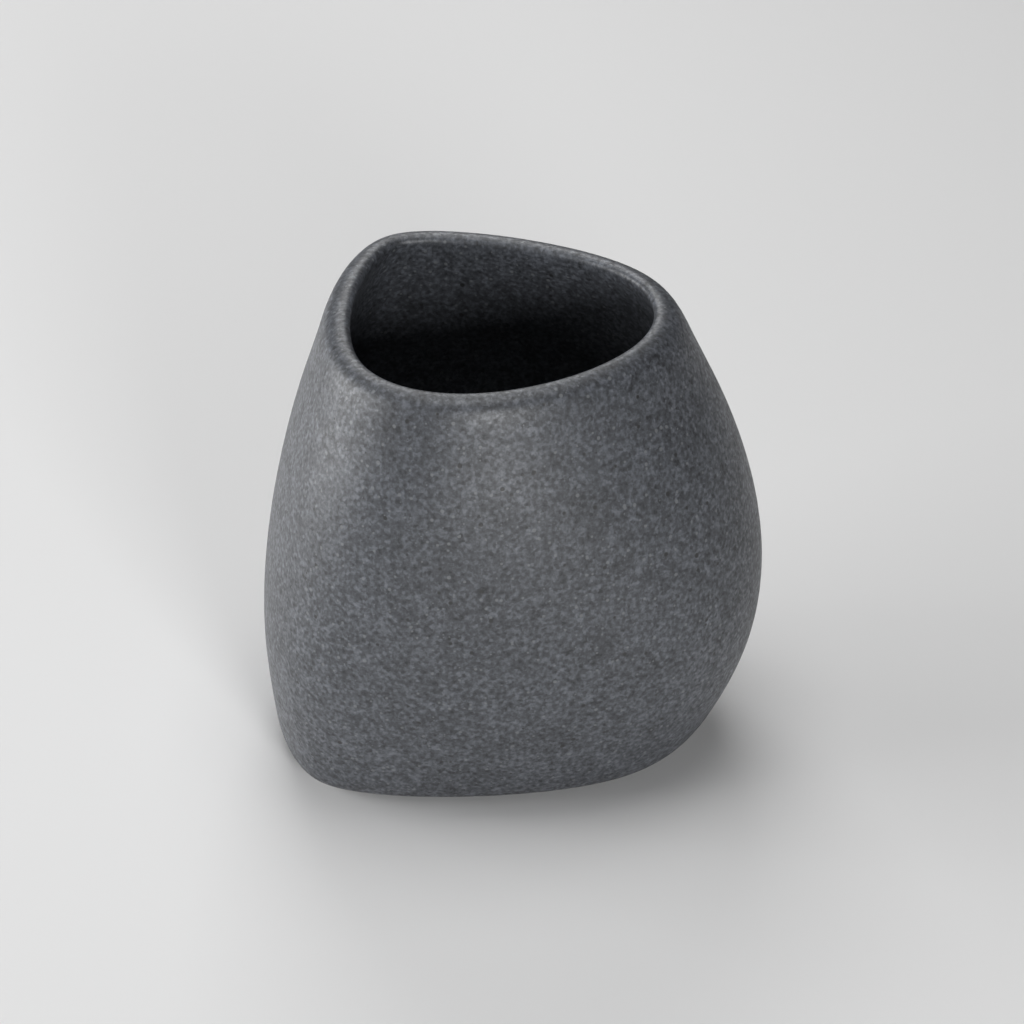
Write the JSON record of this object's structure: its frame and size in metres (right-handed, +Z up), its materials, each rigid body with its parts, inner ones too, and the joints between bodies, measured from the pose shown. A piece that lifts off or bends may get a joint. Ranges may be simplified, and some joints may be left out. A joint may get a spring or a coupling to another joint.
{
  "type": "bathroom tumbler",
  "caption": "Thick-walled cast tumbler shaped like a rounded three-cornered pebble, with a wide belly, a smaller level mouth, a rolled lip and soft pads underneath.",
  "frame": {"origin": "on the table that the pads stand on, under the middle of the body's outline in plan", "axes": "+Z up, +X towards the tip corner, +Y away from the picture's camera, so the tighter heel corner lies towards -X and +Y"},
  "size_m": [0.109, 0.0926, 0.105],
  "materials": {
    "stone_resin": "satin, fine dark and light speckle",
    "pad_rubber": "matt"
  },
  "bodies": {
    "root": {"tumbler_body": "stone_resin", "foot_pad_tip": "pad_rubber", "foot_pad_back": "pad_rubber", "foot_pad_front": "pad_rubber"}
  },
  "joints": []
}
